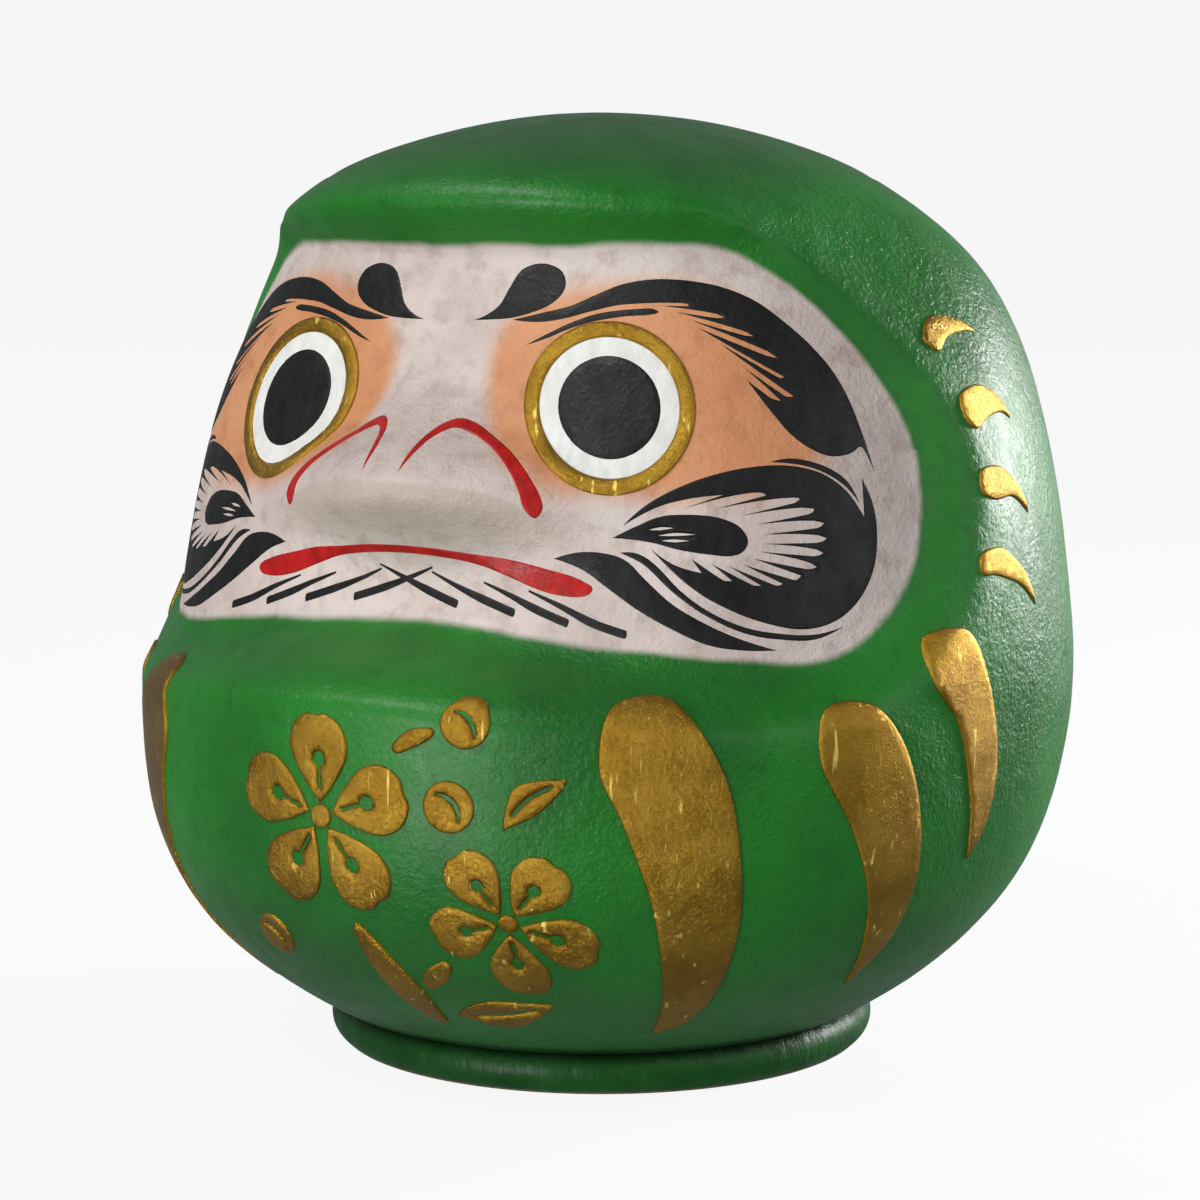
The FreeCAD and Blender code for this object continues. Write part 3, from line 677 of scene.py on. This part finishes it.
# ---- materials -----------------------------------------------------------------------------------
class Nodes:
    """Short calls that add nodes to one material."""

    def __init__(self, name):
        self.material = bpy.data.materials.new(name)
        self.material.use_nodes = True
        self.tree = self.material.node_tree
        self.shader = self.tree.nodes["Principled BSDF"]
        coords = self.tree.nodes.new("ShaderNodeTexCoord")
        self.place = coords.outputs["Object"]

    def link(self, value, socket):
        if isinstance(value, bpy.types.NodeSocket):
            self.tree.links.new(value, socket)
        else:
            socket.default_value = value

    def stretched(self, scale):
        node = self.tree.nodes.new("ShaderNodeMapping")
        self.tree.links.new(self.place, node.inputs["Vector"])
        node.inputs["Scale"].default_value = scale
        return node.outputs["Vector"]

    def height(self):
        node = self.tree.nodes.new("ShaderNodeSeparateXYZ")
        self.tree.links.new(self.place, node.inputs["Vector"])
        return node.outputs["Z"]

    def noise(self, scale, detail=3.0, rough=0.5, place=None, warp=0.0):
        node = self.tree.nodes.new("ShaderNodeTexNoise")
        self.link(place or self.place, node.inputs["Vector"])
        node.inputs["Scale"].default_value = scale
        node.inputs["Detail"].default_value = detail
        node.inputs["Roughness"].default_value = rough
        node.inputs["Distortion"].default_value = warp
        return node.outputs["Fac"]

    def cells(self, scale, feature):
        node = self.tree.nodes.new("ShaderNodeTexVoronoi")
        node.feature = feature
        self.link(self.place, node.inputs["Vector"])
        node.inputs["Scale"].default_value = scale
        return node.outputs["Distance"]

    def math(self, kind, a, b=0.0, c=0.0):
        node = self.tree.nodes.new("ShaderNodeMath")
        node.operation = kind
        for value, socket in zip((a, b, c), node.inputs):
            self.link(value, socket)
        return node.outputs[0]

    def ramp(self, value, low, high, start=0.0, stop=1.0):
        node = self.tree.nodes.new("ShaderNodeMapRange")
        node.interpolation_type = "SMOOTHSTEP"
        for name, number in (("Value", value), ("From Min", low), ("From Max", high),
                             ("To Min", start), ("To Max", stop)):
            self.link(number, node.inputs[name])
        return node.outputs["Result"]

    def mix(self, share, a, b):
        node = self.tree.nodes.new("ShaderNodeMix")
        node.data_type = "RGBA"
        self.link(share, node.inputs[0])
        self.link(a, node.inputs[6])
        self.link(b, node.inputs[7])
        return node.outputs[2]

    def attribute(self, name):
        node = self.tree.nodes.new("ShaderNodeAttribute")
        node.attribute_name = name
        return node.outputs["Fac"]

    def bump(self, height, distance_mm, strength=1.0):
        node = self.tree.nodes.new("ShaderNodeBump")
        node.inputs["Distance"].default_value = distance_mm * MM
        node.inputs["Strength"].default_value = strength
        self.link(height, node.inputs["Height"])
        return node.outputs["Normal"]

    def set(self, **sockets):
        for name, value in sockets.items():
            self.link(value, self.shader.inputs[name.replace("_", " ")])


def srgb(r, g, b):
    """Linear colour from 8-bit sRGB."""
    def line(c):
        c = c / 255
        return c / 12.92 if c <= 0.04045 else ((c + 0.055) / 1.055) ** 2.4
    return (line(r), line(g), line(b), 1.0)


def paper_bump(n, strength=1.0):
    """Grain of the pulp, faint wrinkles and a few creases under the paint."""
    pulp = n.noise(1100.0, 3.0, 0.6)
    wrinkles = n.noise(800.0, 3.0, 0.55, warp=1.2)
    creases = n.noise(150.0, 4.0, 0.6, warp=1.0)
    height = n.math("ADD", n.math("MULTIPLY", pulp, 0.4), n.math("MULTIPLY", wrinkles, 0.5))
    height = n.math("ADD", height, n.math("MULTIPLY", creases, 0.7))
    return n.bump(height, 0.4, strength)


def body_material():
    """Green lacquer with the white face and its airbrushing, painted shade under the nose, towards the
    bottom and along the lower edge, and a painted sheen on the dome.
    """
    n = Nodes("body_paint")
    blot = n.noise(26.0, 5.0, 0.6)
    speck = n.noise(260.0, 4.0, 0.6)
    green = n.mix(n.ramp(blot, 0.34, 0.68), srgb(16, 94, 20), srgb(24, 120, 28))
    green = n.mix(n.ramp(speck, 0.52, 0.78, 0.0, 0.35), green, srgb(12, 62, 18))
    # painted shade: the green turns darker and greyer towards the bottom of the body
    low_shade = n.ramp(n.height(), 0.012, 0.045, 0.5, 0.0)
    green = n.mix(low_shade, green, srgb(34, 66, 36))
    # painted shade: a dark band along the body's lower edge, where it sits on the foot ring
    green = n.mix(n.ramp(n.height(), 0.0072, 0.0088, 0.8, 0.0), green, srgb(8, 26, 10))
    # painted sheen: the top of the dome turns grey-green, as a grazing reflection makes it look
    dome_sheen = n.ramp(n.height(), 0.132, 0.147, 0.0, 0.55)
    green = n.mix(dome_sheen, green, srgb(40, 72, 42))
    white = n.mix(n.ramp(blot, 0.36, 0.66), srgb(194, 178, 171), srgb(212, 199, 192))
    white = n.mix(n.ramp(speck, 0.46, 0.72, 0.0, 0.5), white, srgb(160, 140, 130))
    stain = n.noise(85.0, 6.0, 0.68)
    white = n.mix(n.ramp(stain, 0.5, 0.72, 0.0, 0.4), white, srgb(158, 136, 124))
    peach = n.mix(n.ramp(blot, 0.35, 0.65), srgb(196, 130, 84), srgb(212, 148, 102))
    peach = n.mix(n.ramp(speck, 0.48, 0.74, 0.0, 0.5), peach, srgb(166, 104, 64))
    haze = n.math("ADD", n.attribute("peach_depth"), n.ramp(n.noise(60.0), 0.3, 0.7, -0.8, 0.8))
    white = n.mix(n.ramp(haze, -3.0, 2.8, 0.0, 0.96), white, peach)
    # painted shade under the nose: grey with a crisp top edge, fading out downwards
    under = n.ramp(n.attribute("shade_depth"), -0.35, 0.6, 0.0, 0.62)
    under = n.math("MULTIPLY", under, n.ramp(n.height(), 0.0845, 0.0895))
    white = n.mix(under, white, srgb(180, 164, 148))
    wander = n.ramp(n.noise(34.0, 3.0, 0.5), 0.25, 0.75, -0.7, 0.7)
    edge = n.math("ADD", n.attribute("face_edge"), wander)
    is_green = n.ramp(edge, -0.75, 0.65)
    colour = n.mix(is_green, white, green)
    rough = n.ramp(n.noise(180.0, 4.0, 0.6), 0.3, 0.75, 0.36, 0.52)
    rough = n.math("ADD", rough, n.ramp(is_green, 0.0, 1.0, 0.14, 0.0))
    n.set(Base_Color=colour, Roughness=rough, Normal=paper_bump(n, 1.0))
    n.set(Coat_Weight=0.1, Coat_Roughness=0.3)
    n.shader.inputs["Specular IOR Level"].default_value = 0.3
    return n.material


def paint_material(name, dark, light, low=0.3, high=0.5):
    """Brushed paint on paper: fine streaks, uneven gloss."""
    n = Nodes(name)
    streak = n.noise(500.0, 4.0, 0.6, place=n.stretched((1.0, 1.0, 0.35)))
    colour = n.mix(n.ramp(streak, 0.3, 0.75), dark, light)
    rough = n.ramp(n.noise(220.0, 4.0, 0.6), 0.3, 0.7, low, high)
    n.set(Base_Color=colour, Roughness=rough, Normal=paper_bump(n, 0.45))
    n.shader.inputs["Specular IOR Level"].default_value = 0.3
    return n.material


def gold_material():
    """Crinkled imitation leaf, tarnished brown in places and scratched bright in others."""
    n = Nodes("gold_leaf")
    crinkle = n.noise(1400.0, 6.0, 0.72, warp=1.2)
    flakes = n.cells(420.0, "F1")
    patches = n.noise(75.0, 5.0, 0.65)
    scratch = n.noise(700.0, 2.0, 0.5, place=n.stretched((1.0, 1.0, 0.12)))
    colour = n.mix(n.ramp(patches, 0.36, 0.66), srgb(150, 113, 36), srgb(178, 140, 52))
    colour = n.mix(n.ramp(crinkle, 0.5, 0.7, 0.0, 0.4), colour, srgb(96, 72, 20))
    colour = n.mix(n.ramp(scratch, 0.66, 0.74, 0.0, 0.9), colour, srgb(255, 226, 120))
    rough = n.ramp(n.math("ADD", crinkle, n.math("MULTIPLY", patches, 0.6)), 0.55, 1.1, 0.3, 0.45)
    height = n.math("ADD", n.math("MULTIPLY", crinkle, 0.8), n.math("MULTIPLY", flakes, 0.3))
    n.set(Base_Color=colour, Roughness=rough, Normal=n.bump(height, 0.3, 0.75))
    n.set(Metallic=1.0)
    return n.material


def foot_material():
    """Green lacquer on fired clay, worn thin on the widest part, with painted shade along the ring's top.
    """
    n = Nodes("foot_lacquer")
    blot = n.noise(70.0, 5.0, 0.62)
    brush = n.noise(260.0, 4.0, 0.6, place=n.stretched((1.0, 1.0, 0.3)))
    green = n.mix(n.ramp(blot, 0.34, 0.7), srgb(11, 62, 15), srgb(18, 82, 22))
    green = n.mix(n.ramp(brush, 0.55, 0.8, 0.0, 0.5), green, srgb(10, 50, 14))
    # painted shade: the top of the ring turns almost black, where the body sits over it
    green = n.mix(n.ramp(n.height(), 0.0044, 0.0066, 0.0, 0.9), green, srgb(7, 24, 9))
    rough = n.ramp(brush, 0.3, 0.7, 0.4, 0.56)
    height = n.math("ADD", n.math("MULTIPLY", brush, 0.8), n.math("MULTIPLY", blot, 0.5))
    n.set(Base_Color=green, Roughness=rough, Normal=n.bump(height, 0.9, 0.9))
    n.set(Coat_Weight=0.04, Coat_Roughness=0.3)
    n.shader.inputs["Specular IOR Level"].default_value = 0.2
    return n.material


def dull_material(name, dark, light, scale):
    """Plain paper, card or clay for the hidden pieces."""
    n = Nodes(name)
    grain = n.noise(scale, 5.0, 0.65)
    colour = n.mix(n.ramp(grain, 0.3, 0.7), dark, light)
    n.set(Base_Color=colour, Roughness=n.ramp(grain, 0.3, 0.7, 0.75, 0.95))
    n.set(Normal=n.bump(grain, 0.3, 0.5))
    return n.material


def dress(obj, material):
    """Gives an object one material."""
    obj.data.materials.clear()
    obj.data.materials.append(material)


# ---- pieces --------------------------------------------------------------------------------------
def finish_piece(obj, material, nodes=()):
    """Material, slot, body and the CAD nodes that a piece stands for."""
    dress(obj, material)
    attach(obj, "root")
    if nodes:
        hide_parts(*nodes)


def all_corners(points):
    """Indices of an outline's sharp turns."""
    found = []
    for i, here in enumerate(points):
        a = Vector(here) - Vector(points[i - 1])
        b = Vector(points[(i + 1) % len(points)]) - Vector(here)
        if a.length and b.length and a.angle(b) > math.radians(CORNER_TURN):
            found.append(i)
    return found


def paint_both_sides(skin, name, outline, material, corners=None, holes=()):
    """One painted shape on the doll's left and its mirror image on the right."""
    flat = unroll(outline)
    sharp = all_corners(flat) if corners is None else corners
    line = catmull(flat, corners=sharp, step=0.45)
    cuts = [catmull(unroll(h), corners=(0, 2), step=0.35) for h in holes]
    for side, flip in (("left", False), ("right", True)):
        outlines = [flipped(o) if flip else o for o in [line] + cuts]
        obj = relief(f"{name}_{side}", [outlines], PAINT_T, PAINT_ROUNDING, girth_mapper(skin))
        finish_piece(obj, material)


def eye_middle():
    """Where the left eye's centre lies on the upright plane that faces its bearing."""
    out = direction(EYE_BEARING)
    return EYE_X * -out.y - EYE_FORWARD * out.x


def eye(skin, white, black):
    """Painted eye white and pupil inside the gold ring."""
    middle = eye_middle()
    discs = (("eye_white", EYE_WHITE_R + EYE_WHITE_LAP, EYE_WHITE_T, white),
             ("pupil", PUPIL_R, PUPIL_T, black))
    for side, sign in (("left", 1), ("right", -1)):
        mapper = tangent_mapper(skin, EYE_BEARING * sign)
        for name, radius, height, material in discs:
            disc = circle(middle * sign, EYE_Z, radius)
            obj = relief(f"{name}_{side}", [[disc]], height, EYE_ROUNDING, mapper)
            finish_piece(obj, material)


def gold_pieces(skin, gold):
    """Raised gesso with gold leaf: rings, strokes and the plum sprig."""
    middle = eye_middle()
    coat = (GOLD_T, GOLD_ROUNDING)
    for side, sign in (("left", 1), ("right", -1)):
        mapper = tangent_mapper(skin, EYE_BEARING * sign)
        rings = [circle(middle * sign, EYE_Z, r) for r in (EYE_R, EYE_WHITE_R)]
        obj = relief(f"leaf_eye_ring_{side}", [rings], *coat, mapper, RING_STEP, GOLD_WOBBLE)
        finish_piece(obj, gold, [f"eye_ring_{side}"])
        for kind, strokes in (("chest", CHEST_STROKES), ("shoulder", SHOULDER_STROKES)):
            for i, (bearing, outline) in enumerate(strokes, 1):
                line = catmull(outline, corners=(0,))
                line = line if sign > 0 else flipped(line)
                mapper = tangent_mapper(skin, bearing * sign)
                obj = relief(f"leaf_{kind}_{i}_{side}", [[line]], *coat, mapper, STROKE_STEP, GOLD_WOBBLE)
                finish_piece(obj, gold, [f"{kind}_stroke_{i}_{side}"])
    mapper = tangent_mapper(skin, SPRIG_BEARING)
    sprig = {name: blossom_shapes(*spec) for name, spec in BLOSSOMS.items()}
    sprig |= {name: bud_shapes(*spec) for name, spec in BUDS.items()}
    sprig |= {name: [[catmull(ribbon_outline(line))]] for name, line in BRANCHES.items()}
    sprig |= {name: leaf_shapes(line) for name, line in LEAVES.items()}
    for name, shapes in sprig.items():
        obj = relief(f"leaf_{name}", shapes, *coat, mapper, SPRIG_STEP, GOLD_WOBBLE)
        finish_piece(obj, gold, [name])


def dress_frame():
    """Materials for the CAD nodes that stay."""
    card = dull_material("grey_card", srgb(120, 112, 100), srgb(160, 150, 136), 300.0)
    paper = dull_material("white_paper", srgb(205, 198, 184), srgb(226, 220, 208), 420.0)
    clay = dull_material("raw_clay", srgb(118, 92, 72), srgb(154, 124, 98), 160.0)
    nodes = frame["nodes"]
    dress(nodes["foot_ring"], foot_material())
    dress(nodes["base_paper"], dull_material("sole_paper", srgb(70, 66, 50), srgb(104, 98, 78), 420.0))
    dress(nodes["base_disc"], card)
    dress(nodes["clay_weight"], clay)
    dress(nodes["joint_strip_left"], paper)
    dress(nodes["joint_strip_right"], paper)


# ---- studio --------------------------------------------------------------------------------------
VIEW_BEARING = 0.5605
VIEW_RISE = 0.1144
VIEW_DISTANCE = 0.50116
VIEW_TARGET_Z = 0.07094
VIEW_SHIFT = -0.000243
LENS_MM = 91.9
SENSOR_MM = 36.0


def camera():
    """The camera, on the doll's left and slightly above its middle."""
    back = Vector((math.sin(VIEW_BEARING) * math.cos(VIEW_RISE),
                   -math.cos(VIEW_BEARING) * math.cos(VIEW_RISE), math.sin(VIEW_RISE)))
    right = Vector((math.cos(VIEW_BEARING), math.sin(VIEW_BEARING), 0))
    up = back.cross(right)
    data = bpy.data.cameras.new("camera")
    data.sensor_width = SENSOR_MM
    data.lens = LENS_MM
    obj = bpy.data.objects.new("camera", data)
    turn = Matrix((right, up, back)).transposed().to_4x4()
    turn.translation = Vector((0, 0, VIEW_TARGET_Z)) + right * VIEW_SHIFT + back * VIEW_DISTANCE
    obj.matrix_world = turn
    bpy.context.scene.collection.objects.link(obj)
    bpy.context.scene.camera = obj


LIGHT_AIM_Z = 0.08
# Each light: bearing and rise in degrees, distance, (width, height) in metres, power in watts.
LIGHTS = {
    "front": (-5, -13, 0.8, (0.28, 0.22), 3.1),
    "high": (-22, 46, 0.9, (0.35, 0.25), 4.0),
    "side": (148, 11, 0.9, (0.13, 0.28), 9.5),
    "fill": (82, 14, 1.0, (0.8, 0.6), 2.3),
}
SURROUND = (0.92, 0.96, 1.0, 1)
SURROUND_STRENGTH = 0.27
FLOOR_GLOW = 0.905
FLOOR_REACH = 4.0           # the floor bends up into a wall that stands this far out
FLOOR_BEND_R = 0.9
FLOOR_BEND_STEPS = 40
FLOOR_TOP = 3.0
FLOOR_SIDES = 96


def soft_light(name, bearing, rise, reach, size, power):
    """A rectangular studio light aimed at the doll."""
    data = bpy.data.lights.new(name, "AREA")
    data.shape = "RECTANGLE"
    data.size, data.size_y = size
    data.energy = power
    obj = bpy.data.objects.new(name, data)
    tilt = math.radians(rise)
    aim = direction(bearing) * math.cos(tilt) + Vector((0, 0, math.sin(tilt)))
    obj.location = Vector((0, 0, LIGHT_AIM_Z)) + aim * reach
    obj.rotation_euler = aim.to_track_quat("Z", "Y").to_euler()
    bpy.context.scene.collection.objects.link(obj)


def floor_section():
    """Radius and height of the floor's rings, from the bend's start to the wall's top."""
    section = []
    for k in range(FLOOR_BEND_STEPS + 1):
        angle = math.pi / 2 * k / FLOOR_BEND_STEPS
        section.append((FLOOR_REACH - FLOOR_BEND_R + FLOOR_BEND_R * math.sin(angle),
                        FLOOR_BEND_R - FLOOR_BEND_R * math.cos(angle)))
    return section + [(FLOOR_REACH, FLOOR_TOP)]


def floor_material():
    """Almost black to the lights, and evenly bright of its own."""
    n = Nodes("pale_floor")
    tint = n.mix(n.noise(3.0), (0.02, 0.02, 0.02, 1), (0.022, 0.022, 0.022, 1))
    n.set(Base_Color=tint, Roughness=0.9)
    n.shader.inputs["Emission Color"].default_value = (1, 1, 1, 1)
    n.shader.inputs["Emission Strength"].default_value = FLOOR_GLOW
    return n.material


def studio():
    """Pale floor that rises into a backdrop, soft lights and a dim surround."""
    section = floor_section()
    turns = [2 * math.pi * j / FLOOR_SIDES for j in range(FLOOR_SIDES)]
    vertices = [(r / MM * math.cos(a), r / MM * math.sin(a), z / MM) for r, z in section for a in turns]
    centre = len(vertices)
    vertices.append((0, 0, 0))
    faces = []
    for i in range(len(section) - 1):
        low = i * FLOOR_SIDES
        high = low + FLOOR_SIDES
        for j in range(FLOOR_SIDES):
            k = (j + 1) % FLOOR_SIDES
            faces.append((low + j, high + j, high + k, low + k))
    faces += [(centre, j, (j + 1) % FLOOR_SIDES) for j in range(FLOOR_SIDES)]
    floor = new_object("floor", vertices, faces)
    dress(floor, floor_material())
    floor.visible_glossy = False
    floor.visible_diffuse = False
    floor.visible_shadow = False
    world = bpy.data.worlds.new("surround")
    world.use_nodes = True
    world.node_tree.nodes["Background"].inputs[0].default_value = SURROUND
    world.node_tree.nodes["Background"].inputs[1].default_value = SURROUND_STRENGTH
    bpy.context.scene.world = world
    for name, spec in LIGHTS.items():
        soft_light(name, *spec)
    bpy.context.scene.view_settings.view_transform = "Standard"


def main():
    skin = Skin()
    body = skin.build()
    finish_piece(body, body_material(), ["shell_front", "shell_back"])
    ink = paint_material("black_ink", srgb(8, 8, 8), srgb(24, 24, 23), 0.4, 0.58)
    red = paint_material("red_paint", srgb(150, 10, 10), srgb(190, 24, 20))
    white = paint_material("eye_white_paint", srgb(214, 214, 208), srgb(234, 234, 229), 0.4, 0.6)
    for name, outline in (("brow_drop", BROW_DROP), ("brow", BROW), ("lash", LASH), ("beard", BEARD),
                          ("wisp", WISP), ("sweep", WHISKER_SWEEP), ("sweep_line", WHISKER_LINE)):
        paint_both_sides(skin, name, outline, ink)
    paint_both_sides(skin, "beard_drop", BEARD_DROP, ink, holes=BEARD_SLITS)
    paint_both_sides(skin, "nostril", NOSTRIL, red, corners=(0,))
    half = unroll(MOUTH)
    lips = half[:-1] + flipped(half)[::-1][:-1]
    line = catmull(lips)
    mouth = relief("mouth", [[line]], PAINT_T, PAINT_ROUNDING, girth_mapper(skin))
    finish_piece(mouth, red)
    for i, centre_line in enumerate(WHISKERS, 1):
        outline = tapered(unroll(centre_line), WHISKER_HALF_W)
        for side, flip in (("left", False), ("right", True)):
            drawn = flipped(outline) if flip else outline
            lift = PAINT_T + (WHISKER_LAP if flip else 0.0)
            obj = relief(f"whisker_{i}_{side}", [[drawn]], lift, PAINT_ROUNDING, girth_mapper(skin))
            finish_piece(obj, ink)
    eye(skin, white, ink)
    gold_pieces(skin, gold_material())
    dress_frame()
    camera()
    studio()


main()
